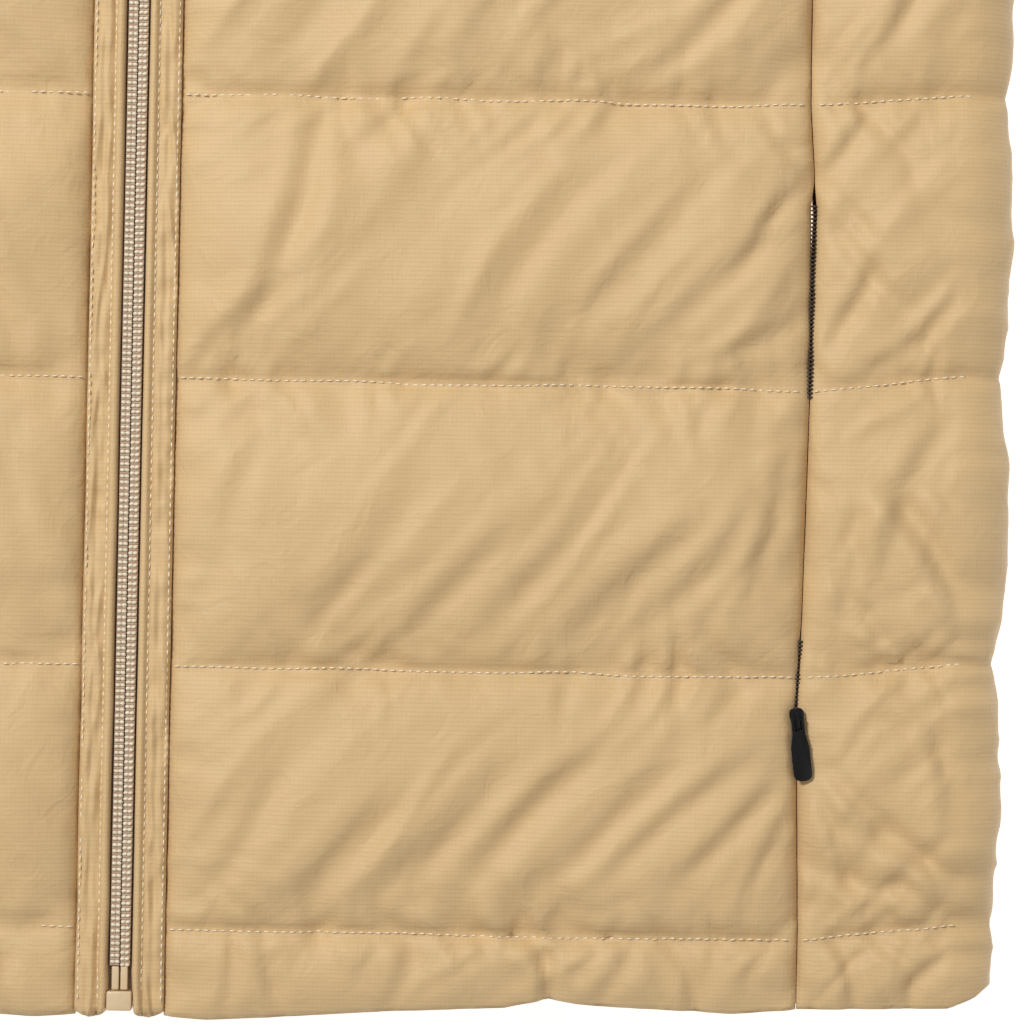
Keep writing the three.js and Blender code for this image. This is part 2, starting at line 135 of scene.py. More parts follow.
# ---- Padded cloth: front panels -------------------------------------------------------------
# Light ripstop nylon, quilted right through its down fill in bands across the body. Each band
# is fullest at its middle, pulls down hard to the stitches and puckers where they gather it.
FRONT_SEAM, FRONT_CROWN = 20.3, 27.5
BACK_SEAM, MIDDLE, WALL = 4.0, 13.15, 3.0
SIDE_SEAM, FOLD_AXIS, HALF_WIDTH = 203.85, 249.0, 262.0
PANEL_EDGE = 13.3
UNDERARM_Y = 430
HALF_GAP = 0.15  # half the gap between front and back where their linings meet
FRONT_SLOPE, BACK_SLOPE = 26, 22  # how far from a seam the padding reaches its full height
HEM_FADE = 25  # height over which the hem's line fades out
VALLEY = 1.1  # half the width that a row of stitches flattens
NOISE_COLUMNS, NOISE_ROWS = 97, 89
QUILTING = [
    dict(front=25.0, fold=31.0),
    dict(front=104.3, fold=109.6),
    dict(front=190.8, fold=195.8),
    dict(front=276.4, fold=280.4),
    dict(front=362.5, fold=366.0),
    dict(front=448.5, fold=452.0),
    dict(front=534.5, fold=538.0),
    dict(front=620.5, fold=624.0),
]
HEM = [
    dict(x=0, y=-0.3),
    dict(x=26, y=-2.1),
    dict(x=43, y=-1.2),
    dict(x=80, y=1.5),
    dict(x=116, y=3.3),
    dict(x=129, y=6.0),
    dict(x=142, y=4.3),
    dict(x=184, y=2.8),
    dict(x=205, y=4.5),
    dict(x=250, y=5.7),
    dict(x=258, y=9.0),
    dict(x=262, y=13.0),
]
SEAM_BOW = [
    dict(y=29, x=203.85),
    dict(y=72, x=202.8),
    dict(y=96, x=202.1),
    dict(y=122, x=203.3),
    dict(y=188, x=204.4),
    dict(y=255, x=204.6),
    dict(y=277, x=203.0),
    dict(y=310, x=202.8),
    dict(y=430, x=203.85),
]
ARMHOLE = [
    dict(y=430, x=203.85),
    dict(y=448.5, x=195),
    dict(y=475, x=186),
    dict(y=505, x=179.5),
    dict(y=534.5, x=178),
    dict(y=577, x=180.5),
    dict(y=620.5, x=188),
    dict(y=640, x=192),
]
# Half the width of the gap that the pocket zip leaves between its two panels.
POCKET_GAP = [
    dict(y=80, gap=0.15),
    dict(y=90, gap=0.42),
    dict(y=112, gap=0.38),
    dict(y=120, gap=0.14),
    dict(y=187, gap=0.14),
    dict(y=193, gap=0.36),
    dict(y=228, gap=0.42),
    dict(y=246, gap=0.95),
    dict(y=254, gap=0.15),
]
# Main creases: where each lies, its run in degrees from +X, how far it bends aside at its ends,
# and its depth. A negative depth is a trough.
CREASES = [
    dict(x=48, y=236, length=80, run=72, width=4.0, bend=9, depth=-1.3),
    dict(x=57, y=232, length=64, run=74, width=5.0, bend=8, depth=0.9),
    dict(x=82, y=246, length=52, run=60, width=4.5, bend=3, depth=-0.9),
    dict(x=124, y=238, length=66, run=52, width=5.0, bend=-4, depth=-1.1),
    dict(x=152, y=228, length=58, run=48, width=4.5, bend=4, depth=-1.0),
    dict(x=176, y=222, length=50, run=42, width=3.5, bend=-4, depth=-1.2),
    dict(x=190, y=238, length=34, run=62, width=2.6, bend=3, depth=-1.2),
    dict(x=186, y=204, length=34, run=28, width=2.6, bend=2, depth=-1.0),
    dict(x=30, y=142, length=54, run=70, width=4.0, bend=5, depth=-0.9),
    dict(x=72, y=136, length=58, run=52, width=5.0, bend=5, depth=-1.1),
    dict(x=104, y=132, length=62, run=46, width=5.0, bend=-5, depth=-1.4),
    dict(x=130, y=140, length=70, run=50, width=4.5, bend=5, depth=-1.3),
    dict(x=152, y=132, length=54, run=44, width=4.0, bend=-3, depth=-1.3),
    dict(x=176, y=138, length=46, run=52, width=3.5, bend=3, depth=-1.1),
    dict(x=194, y=150, length=44, run=76, width=3.0, bend=2, depth=-1.2),
    dict(x=38, y=52, length=42, run=58, width=4.0, bend=4, depth=-1.0),
    dict(x=70, y=50, length=44, run=48, width=4.5, bend=-3, depth=-1.2),
    dict(x=98, y=54, length=56, run=44, width=5.0, bend=5, depth=-1.5),
    dict(x=122, y=60, length=62, run=46, width=4.5, bend=-5, depth=-1.6),
    dict(x=146, y=56, length=60, run=42, width=4.0, bend=4, depth=-1.5),
    dict(x=166, y=62, length=54, run=40, width=3.5, bend=-3, depth=-1.5),
    dict(x=184, y=58, length=42, run=46, width=3.0, bend=2, depth=-1.5),
    dict(x=196, y=54, length=36, run=62, width=2.4, bend=-2, depth=-1.5),
    dict(x=196, y=263, length=22, run=128, width=2.0, bend=1, depth=-1.3),
    dict(x=196, y=247, length=24, run=46, width=2.0, bend=1, depth=-1.3),
    dict(x=213, y=263, length=24, run=50, width=2.2, bend=1, depth=-1.5),
    dict(x=214, y=246, length=28, run=134, width=2.2, bend=2, depth=-1.5),
    dict(x=216, y=214, length=34, run=58, width=2.6, bend=3, depth=-1.6),
    dict(x=220, y=228, length=38, run=128, width=2.8, bend=-3, depth=-1.4),
    dict(x=236, y=206, length=36, run=40, width=3.0, bend=3, depth=-1.2),
    dict(x=243, y=142, length=54, run=122, width=4.0, bend=5, depth=-2.6),
    dict(x=234, y=160, length=44, run=68, width=4.0, bend=-4, depth=-1.5),
    dict(x=218, y=140, length=40, run=84, width=3.0, bend=3, depth=-1.2),
    dict(x=213, y=62, length=36, run=112, width=2.4, bend=2, depth=-1.7),
    dict(x=223, y=66, length=46, run=138, width=3.0, bend=-4, depth=-1.8),
    dict(x=238, y=52, length=46, run=152, width=3.4, bend=4, depth=-1.9),
    dict(x=248, y=76, length=34, run=100, width=3.4, bend=3, depth=-1.3),
    dict(x=220, y=44, length=38, run=168, width=2.8, bend=-3, depth=-1.4),
    dict(x=34, y=12, length=22, run=84, width=2.2, bend=2, depth=-1.2),
    dict(x=45, y=13, length=22, run=104, width=2.4, bend=-2, depth=-1.3),
    dict(x=86, y=12, length=24, run=70, width=3.0, bend=3, depth=-1.0),
    dict(x=129, y=10, length=24, run=92, width=2.4, bend=2, depth=-2.2),
    dict(x=150, y=14, length=26, run=60, width=3.0, bend=3, depth=-1.2),
    dict(x=172, y=14, length=26, run=108, width=2.6, bend=5, depth=-1.7),
    dict(x=220, y=16, length=26, run=104, width=2.6, bend=5, depth=-1.7),
    dict(x=244, y=18, length=24, run=40, width=2.6, bend=-3, depth=-1.4),
    dict(x=60, y=312, length=60, run=60, width=5.0, bend=4, depth=-1.0),
    dict(x=120, y=316, length=60, run=54, width=5.0, bend=-4, depth=-1.0),
    dict(x=176, y=304, length=50, run=48, width=3.6, bend=4, depth=-1.2),
    dict(x=232, y=306, length=44, run=72, width=4.0, bend=3, depth=-1.2),
    dict(x=90, y=400, length=60, run=56, width=5.0, bend=4, depth=-1.0),
    dict(x=150, y=486, length=60, run=52, width=5.0, bend=-4, depth=-1.0),
    dict(x=70, y=574, length=50, run=58, width=5.0, bend=4, depth=-1.0),
]


def read(table, key, value, at):
    return np.interp(at, [row[key] for row in table], [row[value] for row in table])


def noise(x, y, seed):
    """Smooth noise from -1 to 1 with one bump to a unit."""
    table = np.random.default_rng(seed).uniform(-1, 1, (NOISE_COLUMNS, NOISE_ROWS))
    column, row = np.floor(x).astype(int), np.floor(y).astype(int)
    fx, fy = x - column, y - row
    fx, fy = fx**3 * (fx * (fx * 6 - 15) + 10), fy**3 * (fy * (fy * 6 - 15) + 10)
    column, next_column = column % NOISE_COLUMNS, (column + 1) % NOISE_COLUMNS
    row, next_row = row % NOISE_ROWS, (row + 1) % NOISE_ROWS
    low = table[column, row] * (1 - fx) + table[next_column, row] * fx
    high = table[column, next_row] * (1 - fx) + table[next_column, next_row] * fx
    return low * (1 - fy) + high * fy


def ridges(x, y, seed):
    """Sharp-topped folds along winding lines, from -1.4 to 1."""
    return 1 - 2.4 * np.abs(noise(x, y, seed))


def creases(x, y, seed):
    """Narrow troughs along winding lines, 0 to 1 deep."""
    return np.exp(-((noise(x, y, seed) / 0.17) ** 2))


def rise(distance, slope):
    """How far padding has risen from a seam, 0 to 1, up a rounded slope."""
    return (1 - (1 - np.clip(distance / slope, 0, 1)) ** 2) ** 0.8


def front_lining(fullness):
    return FRONT_SEAM - WALL + (MIDDLE + HALF_GAP - FRONT_SEAM + WALL) * fullness


def back_lining(fullness):
    return BACK_SEAM + WALL + (MIDDLE - HALF_GAP - BACK_SEAM - WALL) * fullness


def on_hem(x, y):
    """Moves the lowest stretch of a panel to the hem's own line."""
    return y + read(HEM, "x", "y", np.abs(x)) * np.clip(1 - y / HEM_FADE, 0, 1)


def quilt_lines(x):
    across = np.clip((np.abs(x) - SIDE_SEAM) / (FOLD_AXIS - SIDE_SEAM), 0, 1)
    return [line["front"] + (line["fold"] - line["front"]) * across for line in QUILTING]


def baffle(x, y, top=655.0):
    """How full the padding is, 0 to 1, the share of the way up its baffle, and the distance
    to the nearest line of stitches."""
    lines = [read(HEM, "x", "y", np.abs(x))] + quilt_lines(x) + [np.full_like(x, top)]
    share, full, near = np.zeros_like(x), np.zeros_like(x), np.full_like(x, 500.0)
    for i, (low, high) in enumerate(zip(lines, lines[1:])):
        t = np.clip((y - low - VALLEY) / (high - low - 2 * VALLEY), 0, 1)
        inside = (y >= low) & (y <= high)
        height = 0.42 if i == 0 else 1.0
        share = np.where(inside, t, share)
        full = np.where(inside, height * (1 - (2 * t - 1) ** 2) ** 0.62, full)
    for line in lines[1:-1]:
        near = np.minimum(near, np.abs(y - line))
    return full, share, near


def crumple(x, y, full, share, near, seed):
    """Puckers at the stitches, soft slanting folds in the baffles and the main creases."""
    along, across = x * 0.64 + y * 0.77, -x * 0.77 + y * 0.64
    # Wide and narrow puckers, gathered by the stitches and leaning as they leave them.
    held = np.exp(-near / 8.0) * (1 - np.exp(-near / 2.2))
    lean = x + near * (0.7 + 1.1 * noise(x / 31, y / 60, seed + 5))
    move = 2.5 * held * ridges(lean / 10.5, y / 55, seed)
    lean = x - near * (0.2 + 1.3 * noise(x / 23, y / 60, seed + 8))
    move += 1.5 * held * ridges(lean / 5.6, y / 40, seed + 1)
    # Fine crinkles in patches along the stitches.
    patches = np.clip(0.35 + noise(x / 38, y / 50, seed + 12), 0, 1)
    creased = np.exp(-near / 22.0) * patches
    up_slant, down_slant = x * 0.8 + y * 0.45, y * 0.8 - x * 0.45
    move += 1.1 * creased * ridges(up_slant / 6.5, down_slant / 30, seed + 13)
    # Narrow creases both ways, near the stitches and across the side panels.
    at_side = np.exp(-np.abs(np.abs(x) - SIDE_SEAM) / 26) + 0.6 * (np.abs(x) > SIDE_SEAM)
    gathered = np.clip(np.exp(-near / 13.0) * (0.35 + patches) + 0.8 * at_side, 0, 1.1)
    move -= 1.5 * gathered * creases((x * 0.7 - y * 0.6) / 19, (x * 0.6 + y * 0.7) / 34, seed + 14)
    move -= 1.1 * gathered * creases((x * 0.8 + y * 0.5) / 15, (y * 0.8 - x * 0.5) / 30, seed + 15)
    # Soft folds that slant across the lower half of each baffle, and a slow swell.
    move -= 1.0 * full * (1.1 - share) * creases(across / 30, along / 90, seed + 16)
    bend = 9 * noise(x / 60, y / 60, seed + 2)
    slack = full * (0.35 + 0.85 * (1 - share))
    move += 1.15 * slack * ridges((across + bend) / 17, along / 85, seed + 3)
    move += 0.55 * slack * ridges((across + bend) / 7, along / 45, seed + 4)
    move += 0.9 * full * noise(x / 45, y / 30, seed + 6)
    for fold in CREASES:
        turn = math.radians(fold["run"])
        dx, dy = np.abs(x) - fold["x"], y - fold["y"]
        run = dx * math.cos(turn) + dy * math.sin(turn)
        off = -dx * math.sin(turn) + dy * math.cos(turn)
        reach = run / (fold["length"] / 2)
        off = off - fold["bend"] * reach**2 * 0.5
        off = off / fold["width"]
        trough = np.exp(-(off**2)) - 0.45 * np.exp(-((off - 1.7) ** 2))
        move += 1.3 * fold["depth"] * trough * np.exp(-(reach**4))
    return move


def front_height(x, y, seam_distance, seed):
    full, share, near = baffle(x, y)
    side = rise(seam_distance, FRONT_SLOPE)
    gather = np.exp(-seam_distance / 8) * (1 - np.exp(-seam_distance / 1.5))
    z = FRONT_SEAM + (FRONT_CROWN - FRONT_SEAM) * full * side
    z += crumple(x, y, full, share, near, seed) * (0.25 + 0.75 * side)
    z += 1.4 * gather * ridges(y / 8.5, x / 60, seed + 7)
    return z - 1.5 * np.exp(-((seam_distance / 1.8) ** 2))


def add_piece(name, data, material, body="garment"):
    """Adds a smooth mesh as an object that rides on a body."""
    data.polygons.foreach_set("use_smooth", np.ones(len(data.polygons), bool))
    data.materials.append(material)
    piece = bpy.data.objects.new(name, data)
    bpy.context.collection.objects.link(piece)
    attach(piece, body)
    return piece


def panel(name, columns, rows, place, material, mirror=False):
    """A closed pad: two grids joined round their border, then placed. The place function turns
    u and v from 0 to 1 and the face, 1 outside or 0 inside, into millimetres."""
    shape = bmesh.new()
    for level in (0.0, 1.0):
        made = bmesh.ops.create_grid(shape, x_segments=columns, y_segments=rows, size=0.5)
        bmesh.ops.translate(shape, verts=made["verts"], vec=(0.5, 0.5, level))
    border = [edge for edge in shape.edges if edge.is_boundary]
    bmesh.ops.bridge_loops(shape, edges=border)
    bmesh.ops.recalc_face_normals(shape, faces=shape.faces)
    if mirror:
        bmesh.ops.reverse_faces(shape, faces=shape.faces)
    data = bpy.data.meshes.new(name)
    shape.to_mesh(data)
    shape.free()
    unit = np.zeros(len(data.vertices) * 3)
    data.vertices.foreach_get("co", unit)
    u, v, face = unit.reshape(-1, 3).T
    x, y, z = place(u, v, face > 0.5)
    co = np.stack([-x if mirror else x, y + HEM_Y, z], axis=1) * MM
    data.vertices.foreach_set("co", co.ravel())
    data.update()
    return add_piece(name, data, material)


# Ripstop nylon: a fine grid of thicker threads in a plain weave, calendered to a soft sheen.
nylon, tree, surface = new_material("khaki_ripstop_nylon_calendered")
RIPSTOP_PITCH = 1.32
place_node = put(tree, "ShaderNodeTexCoord")
axes = put(tree, "ShaderNodeSeparateXYZ", {0: place_node.outputs["Object"]})
threads = []
for axis, strength in (("Y", 1.0), ("X", 0.45)):
    turns = put(tree, "ShaderNodeMath",
                {0: axes.outputs[axis], 1: 2 * math.pi / (RIPSTOP_PITCH * MM)}, operation="MULTIPLY")
    wave = put(tree, "ShaderNodeMath", {0: turns.outputs[0]}, operation="SINE")
    line = put(tree, "ShaderNodeMapRange",
               {"Value": wave.outputs[0], "From Min": 0.3, "From Max": 1.0, "To Max": strength})
    threads.append(line.outputs["Result"])
grid_node = put(tree, "ShaderNodeMath", {0: threads[0], 1: threads[1]}, operation="MAXIMUM")
dye = put(tree, "ShaderNodeTexNoise",
          {"Vector": place_node.outputs["Object"], "Scale": 14.0, "Detail": 4.0})
shade = put(tree, "ShaderNodeMix", {"Factor": dye.outputs["Fac"]}, data_type="RGBA")
shade.inputs[6].default_value = linear("D0AF7E")
shade.inputs[7].default_value = linear("D8B98A")
lined = put(tree, "ShaderNodeMix", {}, data_type="RGBA", blend_type="MULTIPLY")
tree.links.new(shade.outputs[2], lined.inputs[6])
lined.inputs[7].default_value = linear("E6E0D4")
line_share = put(tree, "ShaderNodeMath", {0: grid_node.outputs[0], 1: 0.34},
                 operation="MULTIPLY")
tree.links.new(line_share.outputs[0], lined.inputs[0])
tree.links.new(lined.outputs[2], surface.inputs["Base Color"])
crinkle = put(tree, "ShaderNodeTexNoise",
              {"Vector": place_node.outputs["Object"], "Scale": 90.0, "Detail": 5.0,
               "Distortion": 1.2})
crinkle_bump = put(tree, "ShaderNodeBump",
                   {"Height": crinkle.outputs["Fac"], "Distance": 0.0011, "Strength": 0.55})
weave_bump = put(tree, "ShaderNodeBump", {"Height": grid_node.outputs[0], "Distance": 0.00004,
                                          "Strength": 0.7, "Normal": crinkle_bump.outputs["Normal"]})
tree.links.new(weave_bump.outputs["Normal"], surface.inputs["Normal"])
surface.inputs["Roughness"].default_value = 0.56
surface.inputs["Specular IOR Level"].default_value = 0.32
surface.inputs["Sheen Weight"].default_value = 0.12

# The outline of a front panel: its two side edges at steps from hem to shoulder.
FRONT_OUTLINE = [
    dict(step=0, inner_x=PANEL_EDGE, inner_y=0, outer_y=0),
    dict(step=560, inner_x=PANEL_EDGE, inner_y=560, outer_y=560),
    dict(step=580, inner_x=PANEL_EDGE, inner_y=580, outer_y=573),
    dict(step=600, inner_x=40, inner_y=584, outer_y=594),
    dict(step=615, inner_x=60, inner_y=600, outer_y=609),
    dict(step=632, inner_x=71.5, inner_y=620.5, outer_y=620.5),
    dict(step=650, inner_x=80, inner_y=645, outer_y=632),
    dict(step=665, inner_x=85, inner_y=665, outer_y=640),
]


def outer_edge(y):
    seam = read(SEAM_BOW, "y", "x", y) - read(POCKET_GAP, "y", "gap", y)
    return np.where(y < ARMHOLE[0]["y"], seam, read(ARMHOLE, "y", "x", y))


def place_front(seed):
    def place(u, v, outside):
        step = v * FRONT_OUTLINE[-1]["step"]
        inner_x, inner_y, outer_y = (
            read(FRONT_OUTLINE, "step", key, step) for key in ("inner_x", "inner_y", "outer_y"))
        outer_x = outer_edge(outer_y)
        x = inner_x + (outer_x - inner_x) * u
        y = on_hem(x, inner_y + (outer_y - inner_y) * u)
        edge = np.minimum(x - inner_x, outer_x - x)
        top = front_height(x, y, edge, seed)
        full = baffle(x, y)[0]
        under = front_lining(full * rise(edge, FRONT_SLOPE))
        return x, y, np.where(outside, top, np.minimum(under, top - 1.5))
    return place


front_left = panel("front_left_quilted", 100, 345, place_front(11), nylon)
front_right = panel("front_right_quilted", 66, 230, place_front(47), nylon, mirror=True)
for piece, node in ((front_left, "front_left"), (front_right, "front_right")):
    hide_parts(node)

# ---- Padded cloth: side panels --------------------------------------------------------------
# The same quilted cloth, cut to wrap round the body: it runs from the pocket seam over the
# rounded side fold to the back seam, and scallops a little at the fold between its stitches.
UNDERARM = [
    dict(x=203.85, y=430),
    dict(x=211, y=423),
    dict(x=226, y=414),
    dict(x=249, y=407),
    dict(x=262, y=405),
]


# Shares of the panel's width that lie flat at each end and turn round the fold.
FLAT_SHARE, TURN_SHARE = 0.38, 0.24
SIDE_TOP = 412.0  # where the side panel's highest baffle closes, under the arm


def back_height(x, y, seam_distance, seed):
    full, _, near = baffle(x, y)
    side = rise(seam_distance, BACK_SLOPE)
    sunk = BACK_SEAM * (1 - np.clip(full * side * 1.9, 0, 1))
    pucker = 0.7 * np.exp(-near / 8) * ridges(x / 8, y / 60, seed)
    return np.maximum(sunk + np.maximum(pucker, 0) * np.clip(sunk, 0, 1), 0)


def place_side(seed):
    def place(u, v, outside):
        height = v * UNDERARM_Y
        seam_x = read(SEAM_BOW, "y", "x", height) + read(POCKET_GAP, "y", "gap", height)
        turn = np.clip((u - FLAT_SHARE) / TURN_SHARE, 0, 1)
        angle = math.pi / 2 - math.pi * turn
        run = np.where(u < FLAT_SHARE, u / FLAT_SHARE,
                       np.where(u > 1 - FLAT_SHARE, (1 - u) / FLAT_SHARE, 1.0))
        base_x = seam_x + (FOLD_AXIS - seam_x) * run
        out_x = base_x + (HALF_WIDTH - FOLD_AXIS) * np.cos(angle) * (run > 0.999)
        y = on_hem(out_x, height * read(UNDERARM, "x", "y", out_x) / UNDERARM_Y)
        full = baffle(base_x, y, top=SIDE_TOP)[0]
        edge = base_x - seam_x
        top = front_height(base_x, y, edge, seed)
        low = back_height(base_x, y, edge, seed)
        reach = HALF_WIDTH - FOLD_AXIS + 3.0 * full + 0.8 * noise(y / 14, run * 0, seed + 9)
        reach = reach - 3.0 * np.clip(1 - y / 18, 0, 1)
        side = rise(edge, FRONT_SLOPE)
        top_in = np.minimum(front_lining(full * side), top - 1.5)
        low_in = np.maximum(back_lining(full * side), low + 1.5)
        high = np.where(outside, top, top_in)
        bottom = np.where(outside, low, low_in)
        round_out = np.where(outside, reach, np.maximum(reach - WALL - 9 * full, 0.8))
        z = (high + bottom) / 2 + (high - bottom) / 2 * np.sin(angle)
        wrinkle = 0.5 * np.cos(angle) * ridges(y / 9, u * 9, seed + 3) * outside
        return base_x + (round_out + wrinkle) * np.cos(angle), y, z
    return place


side_left = panel("side_left_quilted", 84, 215, place_side(11), nylon)
side_right = panel("side_right_quilted", 60, 150, place_side(47), nylon, mirror=True)
for piece, node in ((side_left, "side_left"), (side_right, "side_right")):
    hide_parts(node)

# ---- Padded cloth: back panel ---------------------------------------------------------------
# One quilted piece, resting flat on the floor with shallow grooves along its stitches.
NECK_BACK = [dict(x=0, y=642), dict(x=30, y=643.5), dict(x=60, y=650), dict(x=85, y=665)]
NECK_X, SHOULDER_Y, SHOULDER_END_Y = 85, 665, 640
SHAPED_Y = 560  # above this the rows bend to follow the neck and shoulders


def place_back(u, v, outside):
    height = v * SHOULDER_Y
    edge_x = np.where(height < UNDERARM_Y, read(SEAM_BOW, "y", "x", height) - HALF_GAP,
                      read(ARMHOLE, "y", "x", height * SHOULDER_END_Y / SHOULDER_Y))
    x = edge_x * (2 * u - 1)
    neck = read(NECK_BACK, "x", "y", np.abs(x))
    fall = (SHOULDER_Y - SHOULDER_END_Y) * (np.abs(x) - NECK_X) / (edge_x - NECK_X)
    top_y = np.where(np.abs(x) < NECK_X, neck, SHOULDER_Y - fall)
    shaped = SHAPED_Y + (height - SHAPED_Y) * (top_y - SHAPED_Y) / (SHOULDER_Y - SHAPED_Y)
    y = on_hem(x, np.where(height > SHAPED_Y, shaped, height))
    edge = edge_x - np.abs(x)
    full = baffle(x, y)[0]
    low = back_height(x, y, edge, 83)
    high = back_lining(np.clip(full * rise(edge, BACK_SLOPE) * 1.2, 0, 1))
    return x, y, np.where(outside, np.maximum(high, low + 1.5), low)


back = panel("back_quilted", 118, 190, place_back, nylon)
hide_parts("back")

# ---- Padded cloth: stand collar -------------------------------------------------------------
# A ring of the same cloth, flattened, with one line of quilting. Its front halves lie over the
# back of the neck, and it is open where the zip runs up it.
COLLAR_HALF = [
    dict(s=0, x=13.3, y=580, angle=90),
    dict(s=27, x=39.7, y=584, angle=90),
    dict(s=52, x=59.7, y=600, angle=90),
    dict(s=75, x=71.2, y=620.5, angle=90),
    dict(s=100, x=79.7, y=645, angle=90),
    dict(s=122, x=85, y=665, angle=90),
    dict(s=144, x=85, y=665, angle=-90),
    dict(s=174, x=60, y=650, angle=-90),
    dict(s=205, x=30, y=643.5, angle=-90),
    dict(s=235, x=0, y=642, angle=-90),
]


COLLAR_HEIGHT, COLLAR_REACH = 72, 8.0


def place_collar(u, v, outside):
    length = COLLAR_HALF[-1]["s"]
    s = length * (1 - np.abs(2 * u - 1))
    x = read(COLLAR_HALF, "s", "x", s)
    angle = np.radians(read(COLLAR_HALF, "s", "angle", s))
    y = read(COLLAR_HALF, "s", "y", s) + 0.3 + COLLAR_HEIGHT * v
    full = 0.55 * (1 - (2 * ((2 * v) % 1.0) - 1) ** 2) ** 0.6 * np.clip(s / 14, 0, 1) ** 0.5
    pucker = 0.6 * np.exp(-np.abs(v - 0.5) * 9) * ridges(s / 8 + 40 * (u > 0.5), v * 2, 5)
    pucker = pucker * (full > 0.02)
    high = FRONT_SEAM + (FRONT_CROWN - FRONT_SEAM) * full + pucker
    low = BACK_SEAM * (1 - full)
    high_in = FRONT_SEAM - WALL - 3.9 * full
    low_in = BACK_SEAM + WALL + 6 * full
    top, bottom = np.where(outside, high, high_in), np.where(outside, low, low_in)
    reach = np.where(outside, COLLAR_REACH, COLLAR_REACH - WALL - 4 * full)
    z = (top + bottom) / 2 + (top - bottom) / 2 * np.sin(angle)
    x = x + reach * np.cos(angle)
    return np.where(u < 0.5, x, -x), y, z


collar = panel("collar_quilted", 190, 34, place_collar, nylon)
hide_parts("collar")

# ---- Plackets -------------------------------------------------------------------------------
# A doubled strip down each side of the zip. Its edge is rolled round a thin piping beside the
# coil, a sunk row of stitches holds the roll, and the strip lies flat and a little wrinkled.
PLACKET_PROFILE = [
    dict(x=3.4, z=19.4),
    dict(x=3.6, z=21.4),
    dict(x=4.3, z=22.4),
    dict(x=5.2, z=22.6),
    dict(x=6.0, z=21.8),
    dict(x=6.5, z=20.4),
    dict(x=7.0, z=20.9),
    dict(x=8.4, z=21.5),
    dict(x=9.6, z=20.9),
    dict(x=11.0, z=21.4),
    dict(x=12.5, z=20.6),
    dict(x=13.2, z=19.9),
]


PLACKET_LENGTH, PLACKET_UNDER = 651.5, 18.3


def place_placket(seed):
    def place(u, v, outside):
        x = 3.4 + 9.8 * u
        y = PLACKET_LENGTH * v
        z = read(PLACKET_PROFILE, "x", "z", x)
        strip = np.clip((x - 6.6) / 1.2, 0, 1) * np.clip((13.2 - x) / 1.0, 0, 1)
        wrinkles = 0.8 * ridges(x / 3.6 + y / 28, y / 20, seed)
        wrinkles = wrinkles + 0.5 * ridges(x / 7 - y / 14, y / 7, seed + 1)
        z = z + strip * wrinkles
        z = z + 0.22 * noise(x * 0, y / 16, seed + 2) * (x < 6.2)
        sway = 0.35 * noise(x * 0, y / 60, seed + 3) + 0.9 * np.clip(1 - y / 14, 0, 1) * (1 - u)
        y = y - 1.6 * (v < 0.001) * 4 * u * (1 - u)
        return x + np.abs(sway), y, np.where(outside, z, PLACKET_UNDER)
    return place


placket_left = panel("placket_left_piped", 22, 420, place_placket(21), nylon)
placket_right = panel("placket_right_piped", 22, 420, place_placket(31), nylon, mirror=True)
for piece, node in ((placket_left, "placket_left"), (placket_right, "placket_right")):
    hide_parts(node)

# ---- Stitches -------------------------------------------------------------------------------
# Spun polyester thread in a paler khaki, about ten stitches to the inch. Each stitch is a short
# swollen bead of thread sunk at both ends.
STITCH = 2.6
STITCH_BEAD = (1.05, 0.27, 0.24)
STITCH_LIFT = 0.45  # how far a stitch stands out of its groove
AHEAD = 0.9  # how far along the row a stitch looks for its direction
YOKE_Y = 600  # above this the neckline cuts the front panel short
YOKE_X = 73.0
# The two rows down each placket: where they lie and how high.
PLACKET_ROWS = [dict(x=12.5, z=21.2), dict(x=6.55, z=20.85)]


def beads(name, centres, runs, size, material, subdivisions=1):
    """Small rounded beads in one mesh, each at a centre and turned along its run."""
    unit = bmesh.new()
    bmesh.ops.create_icosphere(unit, subdivisions=subdivisions, radius=1.0)
    points = np.array([v.co[:] for v in unit.verts]) * size
    faces = np.array([[v.index for v in f.verts] for f in unit.faces])
    unit.free()
    along = np.array(runs, float)
    along /= np.linalg.norm(along, axis=1, keepdims=True)
    across = np.stack([-along[:, 1], along[:, 0], np.zeros(len(along))], axis=1)
    across /= np.linalg.norm(across, axis=1, keepdims=True)
    up = np.cross(along, across)
    spread = (points[None, :, 0, None] * along[:, None] + points[None, :, 1, None] * across[:, None]
              + points[None, :, 2, None] * up[:, None])
    co = (np.array(centres)[:, None] + spread).reshape(-1, 3)
    co[:, 1] += HEM_Y
    order = (faces[None] + np.arange(len(along))[:, None, None] * len(points)).reshape(-1, 3)
    data = bpy.data.meshes.new(name)
    data.from_pydata((co * MM).tolist(), [], order.tolist())
    return add_piece(name, data, material)


def tint_base(tree, surface, share, dark, light):
    """Colours a surface between two tones by a texture's 0 to 1."""
    ramp = put(tree, "ShaderNodeValToRGB", {"Fac": share})
    ramp.color_ramp.elements[0].color = linear(dark)
    ramp.color_ramp.elements[1].color = linear(light)
    tree.links.new(ramp.outputs["Color"], surface.inputs["Base Color"])


# Polyester thread: pale, with the twist of its plies across each stitch.
thread, tree, surface = new_material("spun_polyester_thread_dyed_cream")
where = put(tree, "ShaderNodeTexCoord")
plies = put(tree, "ShaderNodeTexNoise", {"Vector": where.outputs["Object"], "Scale": 1800.0})
tint_base(tree, surface, plies.outputs["Fac"], "E0CDA9", "FBF0DA")
surface.inputs["Roughness"].default_value = 0.6


